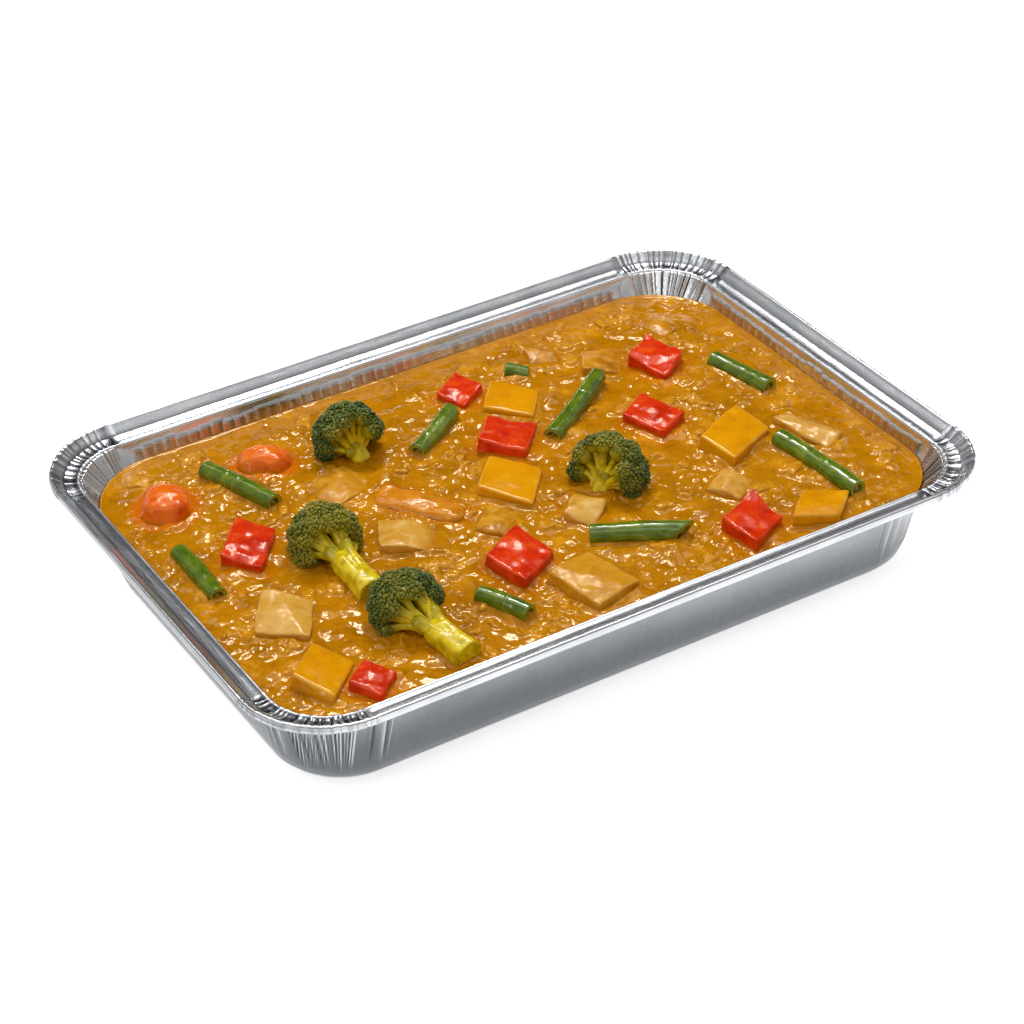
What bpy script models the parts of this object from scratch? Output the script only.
"""Foil tray meal: a vegetable curry in an oblong foil tray with a crimped, curled rim.

The tray is one thin shell. The curry fills it to just under the rim, and every vegetable that
shows is a solid of its own, seated in a pocket of its own shape in the curry.
Units are metres, +Z is up, +X runs along the tray's long side, and the origin is the middle of
the tray's underside.
"""

import math
from collections import namedtuple

import bmesh
import bpy
import numpy as np
from mathutils import Matrix, Vector

MM = 0.001

# Tray, measured over the outside of the curled rim
TRAY_LENGTH = 320 * MM
TRAY_WIDTH = 229.5 * MM
TRAY_HEIGHT = 51.2 * MM
RIM_CORNER_RADIUS = 36.4 * MM
SHEET = 0.5 * MM
CORNER_STEPS = 10
CRIMP_DEPTH = 0.7 * MM

# Inside of the tray's walls, as half sizes of a rounded rectangle at the floor and at the bead
FLOOR_HALF = (139.4 * MM, 89.4 * MM)
FLOOR_CORNER_RADIUS = 28.1 * MM
FLOOR_FILLET = 11.5 * MM
SHOULDER_HEIGHT = 38.3 * MM
SHOULDER_CORNER_RADIUS = 37 * MM
BEAD_INSET = 11.6 * MM
BEAD_HEIGHT = 47.3 * MM

# Curry
CURRY_LEVEL = SHOULDER_HEIGHT
CURRY_CROWN = 1.6 * MM
CURRY_ROWS = 20
CURRY_COLUMNS = 29
LUMP_SEED = 11
LUMP_COUNT = 70
GAP = 0.3 * MM

# Vegetables
BEAN_RADIUS = 4.1 * MM
BEAN_BEND = 0.5 * MM
CHUNK_SHIFT = 0.06
EDGE_BEVEL = 1.6 * MM
# Angle from the crown's axis and number of bud clusters of each ring, and half the part of a ring
# that is left open
CROWN_RINGS = ((math.radians(32), 3), (math.radians(84), 6))
CROWN_OPEN = math.radians(55)

# name, middle x and y, heading from end to end in degrees, length, rise of the axis, end slope
Bean = namedtuple("Bean", "name x y heading length rise slope")
# name, middle x and y, heading of the length in degrees, length, width, skew in degrees,
# height of the middle of the top over the curry, thickness, tilts in degrees, finish
Chunk = namedtuple("Chunk", "name x y heading length width skew rise thick tilt_x tilt_y finish")
# name, place of the fork, heading and tilt of the stalk's axis in degrees, distance from the fork to
# the middle of the crown, reach of the crown's clusters round it, radius of a cluster, length and
# radius of the stalk, turn of the crown's open side round the axis in degrees
Floret = namedtuple("Floret", "name x y rise heading tilt lift reach bud stalk thick open_side")

BEANS = (
    Bean("green_bean_1", -92 * MM, 56 * MM, -72, 39 * MM, 2.2 * MM, 0),
    Bean("green_bean_2", -132 * MM, 12 * MM, -91, 35 * MM, 1.4 * MM, 0),
    Bean("green_bean_3", -8 * MM, 47 * MM, -147, 31 * MM, 2.0 * MM, 4),
    Bean("green_bean_4", 50 * MM, 31 * MM, -146, 47 * MM, 2.2 * MM, 3),
    Bean("green_bean_5", 122 * MM, 15 * MM, -78, 32 * MM, 1.6 * MM, 0),
    Bean("green_bean_6", 107 * MM, -59 * MM, -86, 48 * MM, 2.4 * MM, 0),
    Bean("green_bean_7", 20.5 * MM, -60 * MM, -32, 37 * MM, 1.6 * MM, -4),
    Bean("green_bean_8", -46 * MM, -71 * MM, -66, 23 * MM, 1.6 * MM, 0),
    Bean("green_bean_9", 45 * MM, 70 * MM, -34, 10 * MM, 0.2 * MM, 12),
)

CHUNKS = (
    Chunk(
        "red_pepper_1", 16.5 * MM, 68.5 * MM, 31, 18.6 * MM, 16.3 * MM, 14,
        3.8 * MM, 9 * MM, 0, -4, "red",
    ),
    Chunk("red_pepper_2", 14.5 * MM, 27 * MM, 47, 22.7 * MM, 22 * MM, 7, 4.4 * MM, 9 * MM, 4, 4, "red"),
    Chunk("red_pepper_3", 98 * MM, 43 * MM, 33, 21 * MM, 21 * MM, 16, 5.4 * MM, 10 * MM, 4, -4, "red"),
    Chunk("red_pepper_4", 72 * MM, 6 * MM, 27, 19 * MM, 22.5 * MM, 7, 4.6 * MM, 10 * MM, 2, 0, "red"),
    Chunk(
        "red_pepper_5", -26 * MM, -49 * MM, 29.5, 25.3 * MM, 21.9 * MM, 18,
        5.4 * MM, 10 * MM, 6, 0, "red",
    ),
    Chunk(
        "red_pepper_6", -108 * MM, 16 * MM, 49.5, 29.3 * MM, 18 * MM, 14,
        4.8 * MM, 10 * MM, 6, 0, "red",
    ),
    Chunk(
        "red_pepper_7", -109.3 * MM, -84.2 * MM, 41, 15.8 * MM, 15 * MM, 10,
        4.4 * MM, 9 * MM, 4, 0, "red",
    ),
    Chunk(
        "red_pepper_8", 61.3 * MM, -79 * MM, 26, 23.8 * MM, 19.1 * MM, 18,
        5.8 * MM, 11 * MM, 8, 0, "red",
    ),
    Chunk("tomato_1", -122 * MM, 61.5 * MM, 60, 27 * MM, 24 * MM, 0, 4.6 * MM, 12 * MM, 0, 0, "orange"),
    Chunk(
        "tomato_2", -75.5 * MM, 67.5 * MM, -30, 26 * MM, 20 * MM, 0,
        3.6 * MM, 10 * MM, 0, 0, "orange",
    ),
    Chunk(
        "yellow_pepper_1", 30.6 * MM, 50.4 * MM, 51.6, 23.6 * MM, 23.2 * MM, 11,
        3.6 * MM, 10 * MM, 5, 0, "yellow",
    ),
    Chunk(
        "yellow_pepper_2", -1.2 * MM, -1.4 * MM, 49, 27.3 * MM, 25.5 * MM, 12,
        4 * MM, 11 * MM, 5, 0, "yellow",
    ),
    Chunk(
        "yellow_pepper_3", 90.8 * MM, -24.6 * MM, 27, 34 * MM, 21.2 * MM, 19,
        5 * MM, 11 * MM, 7, 4, "yellow",
    ),
    Chunk(
        "yellow_pepper_4", 89.5 * MM, -84.5 * MM, 42, 21 * MM, 19 * MM, -22,
        5 * MM, 12 * MM, 6, 0, "yellow",
    ),
    Chunk(
        "yellow_pepper_5", -121 * MM, -69.4 * MM, 44.6, 26.2 * MM, 20 * MM, 18,
        4.2 * MM, 11 * MM, 8, 6, "yellow",
    ),
    Chunk(
        "potato_1", 78.4 * MM, 55.8 * MM, 60, 22.5 * MM, 19.7 * MM, 0,
        3 * MM, 11 * MM, 6, 4, "potato",
    ),
    Chunk(
        "potato_2", -58.8 * MM, 34.1 * MM, 16, 24.9 * MM, 21.4 * MM, 2,
        2 * MM, 10 * MM, 3, 0, "potato",
    ),
    Chunk(
        "potato_3", -9.7 * MM, -76 * MM, 17.5, 26.3 * MM, 31.6 * MM, 4,
        2.8 * MM, 11 * MM, 4, 4, "potato",
    ),
    Chunk(
        "potato_4", -19.4 * MM, -22.2 * MM, 41, 19.5 * MM, 16.8 * MM, 7,
        2.4 * MM, 9 * MM, 6, 0, "potato",
    ),
    Chunk("potato_5", 61 * MM, 75 * MM, -20, 15 * MM, 15 * MM, 0, 2 * MM, 9 * MM, 0, 6, "potato"),
    Chunk(
        "potato_6", 117.5 * MM, 67 * MM, 9, 16.6 * MM, 15.7 * MM, -4,
        1.8 * MM, 8 * MM, 4, 4, "potato",
    ),
    Chunk("onion_1", -52.7 * MM, -12 * MM, 66, 21.5 * MM, 27 * MM, 9, 2.6 * MM, 9 * MM, 6, 0, "onion"),
    Chunk(
        "onion_2", -118 * MM, -32 * MM, 57.7, 26.2 * MM, 23.2 * MM, 11,
        4 * MM, 12 * MM, 6, -4, "onion",
    ),
    Chunk(
        "onion_3", 119.6 * MM, -34.1 * MM, 22.4, 14 * MM, 34 * MM, 11,
        2.6 * MM, 9 * MM, 0, 4, "onion",
    ),
    Chunk(
        "onion_4", 12.3 * MM, -35 * MM, 43.5, 18.5 * MM, 15.5 * MM, 14,
        3.2 * MM, 9 * MM, 6, 0, "onion",
    ),
    Chunk("onion_5", 69.8 * MM, -51.6 * MM, 33.7, 18 * MM, 17 * MM, 5, 3 * MM, 9 * MM, 0, 0, "onion"),
    Chunk(
        "carrot_1", -38.5 * MM, 4.8 * MM, 40.5, 16.5 * MM, 44 * MM, 5,
        2.8 * MM, 9 * MM, 2, 0, "carrot",
    ),
)

FLORETS = (
    Floret(
        "broccoli_1", -41 * MM, 51.5 * MM, 1.6 * MM, 112, 52, 7 * MM,
        10.8 * MM, 5.6 * MM, 10 * MM, 4.2 * MM, 90,
    ),
    Floret(
        "broccoli_2", -84 * MM, -18 * MM, 4.2 * MM, 92, 6, 16 * MM,
        10.4 * MM, 5.6 * MM, 20 * MM, 6.2 * MM, -90,
    ),
    Floret(
        "broccoli_3", -76.3 * MM, -74 * MM, 4.2 * MM, 101, 6, 18 * MM,
        10.4 * MM, 5.6 * MM, 17 * MM, 6.2 * MM, -90,
    ),
    Floret(
        "broccoli_4", 28 * MM, -23 * MM, 1.2 * MM, 10, 52, 5 * MM,
        12.2 * MM, 5.8 * MM, 6 * MM, 4.4 * MM, 90,
    ),
)

# colour, roughness, metallic value, whether it is rounded all over, share of the width lost on top
Finish = namedtuple("Finish", "colour roughness metallic soft taper")
FINISHES = {
    "foil": Finish((0.80, 0.81, 0.83), 0.22, 1.0, False, 0),
    "curry": Finish((0.44, 0.165, 0.006), 0.25, 0.0, False, 0),
    "red": Finish((0.68, 0.035, 0.006), 0.18, 0.0, True, 0.04),
    "orange": Finish((0.80, 0.16, 0.012), 0.2, 0.0, True, 0.25),
    "yellow": Finish((0.80, 0.34, 0.006), 0.2, 0.0, False, 0.08),
    "potato": Finish((0.62, 0.25, 0.02), 0.25, 0.0, False, 0.12),
    "onion": Finish((0.72, 0.36, 0.07), 0.2, 0.0, False, 0.10),
    "carrot": Finish((0.62, 0.21, 0.015), 0.22, 0.0, False, 0.10),
    "bean": Finish((0.11, 0.17, 0.008), 0.22, 0.0, False, 0),
    "broccoli": Finish((0.09, 0.12, 0.01), 0.45, 0.0, False, 0),
}


def clear_scene():
    """Removes what a new Blender file starts with."""
    for leftover in list(bpy.data.objects):
        bpy.data.objects.remove(leftover)


def new_collection(name):
    """A collection of the scene."""
    made = bpy.data.collections.new(name)
    bpy.context.scene.collection.children.link(made)
    return made


def material(name):
    """The Principled material of one finish, made once."""
    found = bpy.data.materials.get(name)
    if found:
        return found
    made = bpy.data.materials.new(name)
    made.use_nodes = True
    shader = made.node_tree.nodes["Principled BSDF"]
    finish = FINISHES[name]
    shader.inputs["Base Color"].default_value = (*finish.colour, 1)
    shader.inputs["Roughness"].default_value = finish.roughness
    shader.inputs["Metallic"].default_value = finish.metallic
    made.diffuse_color = (*finish.colour, 1)
    return made


def add_object(name, mesh, collection, finish=None, matrix=None):
    """An object of this mesh in a collection; without a finish it is a helper that isn't drawn."""
    made = bpy.data.objects.new(name, mesh)
    collection.objects.link(made)
    if matrix is not None:
        made.matrix_world = matrix
    if finish:
        mesh.materials.append(material(finish))
    else:
        made.hide_render = True
        made.display_type = "WIRE"
    return made


def mesh_from(name, points, faces):
    """A mesh from an array of points and a list of faces."""
    mesh = bpy.data.meshes.new(name)
    mesh.from_pydata([tuple(point) for point in points], [], faces)
    mesh.update()
    return mesh


def mesh_from_bmesh(name, shape):
    """A mesh from a bmesh, which is freed."""
    mesh = bpy.data.meshes.new(name)
    shape.to_mesh(mesh)
    shape.free()
    return mesh


def applied(piece, name, finish, collection):
    """The piece with its modifiers applied, as a new object, and the old one removed."""
    graph = bpy.context.evaluated_depsgraph_get()
    mesh = bpy.data.meshes.new_from_object(piece.evaluated_get(graph), depsgraph=graph)
    matrix = piece.matrix_world.copy()
    bpy.data.objects.remove(piece)
    mesh.name = name
    mesh.materials.clear()
    return add_object(name, mesh, collection, finish, matrix)


# Tray


def rounded_corner_points(half_x, half_y, radius, steps):
    """Points round a rectangle with round corners, anticlockwise from +X, steps segments a corner."""
    turns = np.concatenate(
        [np.linspace(quarter, quarter + 1, steps + 1) for quarter in range(4)]
    )
    angles = turns * math.pi / 2
    signs_x = np.repeat([1, -1, -1, 1], steps + 1)
    signs_y = np.repeat([1, 1, -1, -1], steps + 1)
    x = signs_x * (half_x - radius) + radius * np.cos(angles)
    y = signs_y * (half_y - radius) + radius * np.sin(angles)
    return np.stack([x, y], axis=1), angles


def wall_outline(height):
    """Half sizes and corner radius of the inside of the tray's wall, which leans out evenly.

    Above the shoulder the corners flare out to meet the rim.
    """
    share = height / BEAD_HEIGHT
    bead_half = (TRAY_LENGTH / 2 - BEAD_INSET, TRAY_WIDTH / 2 - BEAD_INSET)
    half_x, half_y = (low + (high - low) * share for low, high in zip(FLOOR_HALF, bead_half))
    heights = (0, SHOULDER_HEIGHT, BEAD_HEIGHT)
    radii = (FLOOR_CORNER_RADIUS, SHOULDER_CORNER_RADIUS, RIM_CORNER_RADIUS - BEAD_INSET)
    return half_x, half_y, float(np.interp(height, heights, radii))


def wall_rings(floor_height, fillet, steps):
    """Rings (half x, half y, radius, height) of the round edge between a floor and the wall."""
    rings = []
    for turn in np.linspace(0, math.pi / 2, steps + 1):
        height = floor_height + fillet * (1 - math.cos(turn))
        half_x, half_y, radius = wall_outline(height)
        inset = fillet * (1 - math.sin(turn))
        rings.append((half_x - inset, half_y - inset, radius - inset, height))
    return rings


def tray_rings():
    """The tray's upper face from the floor to the curl, with each ring's share of the crimps.

    A ring is half x, half y, corner radius, height, outward crimp and upward crimp.
    """
    rings = [(*ring, 0.0, 0.0) for ring in wall_rings(SHEET, FLOOR_FILLET, 3)]
    rings += [(*wall_outline(height), height, 0.9, 0.0) for height in (20 * MM, SHOULDER_HEIGHT)]
    # inset from the rim's outside, height, outward crimp, upward crimp
    rim = (
        (11.9 * MM, 46.0 * MM, 0.9, 0.0),
        (11.4 * MM, BEAD_HEIGHT, 0.3, 0.5),
        (10.2 * MM, 46.9 * MM, 0.0, 1.0),
        (6.3 * MM, 47.6 * MM, 0.0, 1.0),
        (5.2 * MM, 48.2 * MM, -0.3, 0.6),
        (1.8 * MM, 50.8 * MM, -0.6, 0.0),
        (0.9 * MM, TRAY_HEIGHT, -0.4, 0.0),
        (0.0, 50.2 * MM, -0.5, 0.0),
        (0.0, 48.4 * MM, -0.7, 0.0),
        (0.9 * MM, 47.6 * MM, -0.7, 0.0),
    )
    for inset, height, outward, upward in rim:
        half_x, half_y = TRAY_LENGTH / 2 - inset, TRAY_WIDTH / 2 - inset
        rings.append((half_x, half_y, RIM_CORNER_RADIUS - inset, height, outward, upward))
    return rings


def tray():
    """The tray: rings of points lofted from the floor to the curl, then thickened outwards.

    At the corners every other point is pushed out (on the wall), in (on the curl) or up (on the
    ledge), which makes the crimps.
    """
    wave = np.tile(np.arange(CORNER_STEPS + 1) % 2, 4)
    points = []
    for half_x, half_y, radius, height, outward, upward in tray_rings():
        flat, angles = rounded_corner_points(half_x, half_y, radius, CORNER_STEPS)
        push = CRIMP_DEPTH * outward * wave
        flat = flat + np.stack([np.cos(angles) * push, np.sin(angles) * push], axis=1)
        points.append(np.column_stack([flat, height + CRIMP_DEPTH * upward * (wave - 0.5)]))
    count = len(wave)
    faces = [tuple(range(count))]
    for ring in range(len(points) - 1):
        here, above = ring * count, (ring + 1) * count
        for step in range(count):
            after = (step + 1) % count
            faces.append((here + after, here + step, above + step, above + after))
    mesh = mesh_from("tray", np.concatenate(points), faces)
    made = add_object("tray", mesh, bpy.data.collections["foil_tray_meal"], "foil")
    wall = made.modifiers.new("sheet", "SOLIDIFY")
    wall.thickness = SHEET
    wall.offset = -1
    return made


# Curry


def lumps():
    """Middle, radius and height of the curry's larger lumps, drawn evenly over its face."""
    draw = np.random.default_rng(LUMP_SEED)
    x = draw.uniform(-136 * MM, 136 * MM, LUMP_COUNT)
    y = draw.uniform(-88 * MM, 88 * MM, LUMP_COUNT)
    radius = draw.uniform(5 * MM, 10 * MM, LUMP_COUNT)
    height = draw.uniform(0.5 * MM, 1.7 * MM, LUMP_COUNT)
    return x, y, radius, height


def curry_height(x, y):
    """Height of the curry's face: a level, a slight crown towards the middle, and round lumps."""
    x, y = np.asarray(x, float), np.asarray(y, float)
    half_x, half_y, _ = wall_outline(CURRY_LEVEL)
    crown = np.clip(1 - (x / half_x) ** 2, 0, 1) * np.clip(1 - (y / half_y) ** 2, 0, 1)
    height = CURRY_LEVEL + CURRY_CROWN * np.sqrt(crown)
    for lump_x, lump_y, radius, rise in zip(*lumps()):
        away = ((x - lump_x) ** 2 + (y - lump_y) ** 2) / radius**2
        height = height + rise * np.exp(-2 * away) * np.minimum(1, 3 * crown)
    return height


def onto_outline(across, along, half_x, half_y, radius):
    """A point of the square from -1 to 1, moved into a rounded rectangle row by row."""
    y = along * half_y
    past = np.clip(np.abs(y) - (half_y - radius), 0, radius)
    return across * (half_x - radius + np.sqrt(radius**2 - past**2)), y


def curry_body(collection):
    """The curry before its pockets are cut: a lumpy face, and sides that follow the tray inside."""
    along = np.sin(np.linspace(-1, 1, CURRY_ROWS + 1) * math.pi / 2)
    along = 0.55 * along + 0.45 * np.linspace(-1, 1, CURRY_ROWS + 1)
    across = np.linspace(-1, 1, CURRY_COLUMNS + 1)
    grid_across, grid_along = np.meshgrid(across, along)
    half_x, half_y, radius = wall_outline(CURRY_LEVEL)
    x, y = onto_outline(grid_across, grid_along, half_x - GAP, half_y - GAP, radius - GAP)
    top = np.stack([x.ravel(), y.ravel(), curry_height(x, y).ravel()], axis=1)
    columns, rows = CURRY_COLUMNS + 1, CURRY_ROWS + 1
    faces = []
    for row in range(CURRY_ROWS):
        for column in range(CURRY_COLUMNS):
            corner = row * columns + column
            faces.append((corner, corner + 1, corner + columns + 1, corner + columns))
    edge = list(range(columns))
    edge += [row * columns + columns - 1 for row in range(1, rows)]
    edge += [(rows - 1) * columns + column for column in range(columns - 2, -1, -1)]
    edge += [row * columns for row in range(rows - 2, 0, -1)]
    edge_across, edge_along = grid_across.ravel()[edge], grid_along.ravel()[edge]
    floor = SHEET + GAP
    rings = wall_rings(floor, FLOOR_FILLET, 3)[::-1]
    points, here = [top], edge
    for half_x, half_y, radius, height in rings:
        x, y = onto_outline(edge_across, edge_along, half_x - GAP, half_y - GAP, radius - GAP)
        start = sum(len(block) for block in points)
        points.append(np.stack([x, y, np.full(len(x), height)], axis=1))
        below = list(range(start, start + len(edge)))
        for step in range(len(edge)):
            after = (step + 1) % len(edge)
            faces.append((here[after], here[step], below[step], below[after]))
        here = below
    faces.append(tuple(reversed(here)))
    mesh = mesh_from("curry", np.concatenate(points), faces)
    return add_object("curry", mesh, collection, "curry")


def curry(pockets):
    """The curry with a pocket for each vegetable."""
    made = curry_body(bpy.data.collections["foil_tray_meal"])
    cut = made.modifiers.new("pockets", "BOOLEAN")
    cut.operation = "DIFFERENCE"
    cut.operand_type = "COLLECTION"
    cut.collection = pockets
    cut.solver = "EXACT"
    return made


# Vegetables


def turned(x, y, z, heading, tilt_x=0.0, tilt_y=0.0):
    """A place, with the piece turned to its heading and tilted about its length and its width."""
    turn = Matrix.Rotation(math.radians(heading), 4, "Z")
    tilt = Matrix.Rotation(math.radians(tilt_x), 4, "X") @ Matrix.Rotation(math.radians(tilt_y), 4, "Y")
    return Matrix.Translation((x, y, z)) @ turn @ tilt


def bean(spec, name, collection, finish, grow=0.0):
    """A cut length of green bean: a slightly bowed round bar with flat ends."""
    curve = bpy.data.curves.new(name, "CURVE")
    curve.dimensions = "3D"
    line = curve.splines.new("POLY")
    line.points.add(2)
    for point, share in zip(line.points, (-1, 0, 1)):
        bow = BEAN_BEND * (1 - share**2)
        point.co = (share * (spec.length / 2 + grow), bow, 0, 1)
    curve.bevel_depth = BEAN_RADIUS + grow
    curve.bevel_resolution = 3
    curve.use_fill_caps = True
    guide = bpy.data.objects.new(name + "_guide", curve)
    collection.objects.link(guide)
    height = float(curry_height(spec.x, spec.y)) + spec.rise
    guide.matrix_world = turned(spec.x, spec.y, height, spec.heading, 0, spec.slope)
    bpy.context.view_layer.update()
    made = applied(guide, name, finish, collection)
    shape = bmesh.new()
    shape.from_mesh(made.data)
    bmesh.ops.remove_doubles(shape, verts=shape.verts, dist=0.00001)
    shape.to_mesh(made.data)
    shape.free()
    return made


def chunk_cage(spec, grow):
    """The cage of a cut chunk: a skewed box, narrower on top.

    Its four corners are shifted by a seeded draw, so that no two chunks are alike. A soft chunk's
    box has 2 by 2 cells and a crown, for subdivision to round.
    """
    soft = FINISHES[spec.finish].soft
    shape = bmesh.new()
    bmesh.ops.create_cube(shape, size=2)
    if soft:
        level = [edge for edge in shape.edges if edge.verts[0].co.z == edge.verts[1].co.z]
        bmesh.ops.subdivide_edges(shape, edges=level, cuts=1, use_grid_fill=True)
    draw = np.random.default_rng(int(spec.name[-1]) + int(1000 * abs(spec.x)))
    shift = draw.uniform(-CHUNK_SHIFT, CHUNK_SHIFT, (2, 2, 2))
    fuller = 1 + 0.12 * soft
    lean = math.tan(math.radians(spec.skew))
    for corner in shape.verts:
        across, along, up = corner.co
        weight = np.outer([1 - across, 1 + across], [1 - along, 1 + along]) / 4
        shift_x, shift_y = np.tensordot(weight, shift, 2)
        narrow = (1 - FINISHES[spec.finish].taper * (up > 0)) * fuller
        crown = 0.14 * soft * spec.thick * (1 - across**2) * (1 - along**2) * (up > 0)
        x = (across + shift_x) * spec.length / 2 * narrow + across * grow
        y = (along + shift_y) * spec.width / 2 * narrow + along * grow
        corner.co = (x + y * lean, y, (up - 1) / 2 * spec.thick + up * grow + crown)
    return shape


def chunk(spec, name, collection, finish, grow=0.0):
    """A cut chunk: soft ones are rounded by subdivision, crisp ones have bevelled edges."""
    height = float(curry_height(spec.x, spec.y)) + spec.rise
    place = turned(spec.x, spec.y, height, spec.heading, spec.tilt_x, spec.tilt_y)
    made = add_object(name, mesh_from_bmesh(name, chunk_cage(spec, grow)), collection, finish, place)
    if FINISHES[spec.finish].soft:
        rounding = made.modifiers.new("rounding", "SUBSURF")
        rounding.levels = rounding.render_levels = 1
    else:
        rounding = made.modifiers.new("rounding", "BEVEL")
        rounding.width = EDGE_BEVEL + grow
        rounding.segments = 1
    return made


def crown_places(spec):
    """Middles of a floret's bud clusters: rings of a dome, in the floret's frame.

    The frame has +Z from the fork to the crown, and +Y towards the side that faces up. Each ring is
    open on the side where the floret was cut, or where it lies in the sauce.
    """
    places = []
    for polar, count in CROWN_RINGS:
        for step in range(count):
            share = step / (count - 1)
            turn = math.radians(spec.open_side) + CROWN_OPEN + (2 * math.pi - 2 * CROWN_OPEN) * share
            wide, high = spec.reach * math.sin(polar), spec.reach * math.cos(polar)
            places.append(Vector((wide * math.cos(turn), wide * math.sin(turn), spec.lift + high)))
    return places


def add_ball(shape, middle, radius, detail=1):
    """A round bud cluster."""
    bmesh.ops.create_icosphere(
        shape, subdivisions=detail, radius=radius, matrix=Matrix.Translation(middle)
    )


def add_stalk(shape, start, end, start_radius, end_radius, sides):
    """A tapered round bar from start to end."""
    run = end - start
    middle = Matrix.Translation((start + end) / 2) @ run.to_track_quat("Z", "Y").to_matrix().to_4x4()
    bmesh.ops.create_cone(
        shape,
        cap_ends=True,
        segments=sides,
        radius1=start_radius,
        radius2=end_radius,
        depth=run.length,
        matrix=middle,
    )


def floret_place(spec):
    """Where a floret's frame stands: its crown axis has a heading, and a tilt above level."""
    height = float(curry_height(spec.x, spec.y)) + spec.rise
    heading, tilt = math.radians(spec.heading), math.radians(spec.tilt)
    crown = Vector(
        (math.cos(heading) * math.cos(tilt), math.sin(heading) * math.cos(tilt), math.sin(tilt))
    )
    up = Vector((0, 0, 1))
    side = (up - crown * up.dot(crown)).normalized()
    across = side.cross(crown)
    turn = Matrix((across, side, crown)).transposed().to_4x4()
    return Matrix.Translation((spec.x, spec.y, height)) @ turn


def floret(spec, collection):
    """A broccoli floret: stalk, branches and bud clusters, joined into one solid."""
    loose = new_collection(spec.name + "_pieces")
    fork = Vector((0, 0, 0))
    core = bmesh.new()
    add_stalk(core, Vector((0, 0, -spec.stalk)), Vector((0, 0, 2 * MM)), spec.thick * 0.92, spec.thick, 10)
    add_object(spec.name + "_stalk", mesh_from_bmesh("stalk", core), loose)
    heart = bmesh.new()
    add_ball(heart, Vector((0, 0, spec.lift + 0.2 * spec.reach)), 0.62 * spec.reach)
    add_object(spec.name + "_heart", mesh_from_bmesh("heart", heart), loose)
    places = crown_places(spec)
    for index, place in enumerate(places):
        ball = bmesh.new()
        add_ball(ball, place, spec.bud * (0.94 + 0.06 * (index % 3)))
        add_object(f"{spec.name}_bud_{index}", mesh_from_bmesh("bud", ball), loose)
        if index >= len(places) - CROWN_RINGS[-1][1]:
            branch = bmesh.new()
            add_stalk(branch, fork, place * 0.95, spec.thick * 0.55, 2.2 * MM, 5)
            add_object(f"{spec.name}_branch_{index}", mesh_from_bmesh("branch", branch), loose)
    seed = bmesh.new()
    add_ball(seed, fork, spec.thick * 1.05)
    whole = add_object(spec.name + "_whole", mesh_from_bmesh("whole", seed), collection)
    join = whole.modifiers.new("join", "BOOLEAN")
    join.operation = "UNION"
    join.operand_type = "COLLECTION"
    join.collection = loose
    join.solver = "MANIFOLD"
    whole.matrix_world = Matrix.Identity(4)
    bpy.context.view_layer.update()
    made = applied(whole, spec.name, "broccoli", collection)
    for piece in list(loose.objects):
        bpy.data.objects.remove(piece)
    bpy.data.collections.remove(loose)
    made.matrix_world = floret_place(spec)
    return made


def hull_of(shape):
    """The convex hull of a bmesh's points, as a new bmesh; the old one is freed."""
    hull = bmesh.new()
    for corner in shape.verts:
        hull.verts.new(corner.co)
    shape.free()
    made = bmesh.ops.convex_hull(hull, input=hull.verts)
    spare = [part for part in made["geom_interior"] if isinstance(part, bmesh.types.BMVert)]
    bmesh.ops.delete(hull, geom=spare, context="VERTS")
    return hull


def floret_pocket(spec, pockets):
    """The pocket that a floret lies in: a hollow close round the crown, and a trough for the stalk."""
    crown = bmesh.new()
    for middle in crown_places(spec):
        add_ball(crown, middle, spec.bud * 1.06 + GAP)
    add_ball(crown, Vector((0, 0, 0)), spec.thick * 1.05 + GAP)
    place = floret_place(spec)
    hollow = mesh_from_bmesh("pocket", hull_of(crown))
    add_object(spec.name + "_crown_pocket", hollow, pockets, None, place)
    trough = bmesh.new()
    radius = spec.thick + GAP
    add_stalk(trough, Vector((0, 0, -spec.stalk - GAP)), Vector((0, 0, 2 * MM)), radius, radius + GAP, 10)
    add_object(spec.name + "_stalk_pocket", mesh_from_bmesh("pocket", trough), pockets, None, place)


def vegetables(whole, pockets):
    """Every vegetable, and a cutter a gap larger than each, for its pocket in the curry."""
    for spec in BEANS:
        bean(spec, spec.name, whole, "bean")
        bean(spec, spec.name + "_pocket", pockets, None, GAP)
    for spec in CHUNKS:
        chunk(spec, spec.name, whole, spec.finish)
        chunk(spec, spec.name + "_pocket", pockets, None, GAP)
    for spec in FLORETS:
        floret(spec, whole)
        floret_pocket(spec, pockets)


def main():
    """Builds the meal in its collection, with the cutters in another."""
    clear_scene()
    whole = new_collection("foil_tray_meal")
    pockets = new_collection("pocket_cutters")
    tray()
    vegetables(whole, pockets)
    curry(pockets)


main()
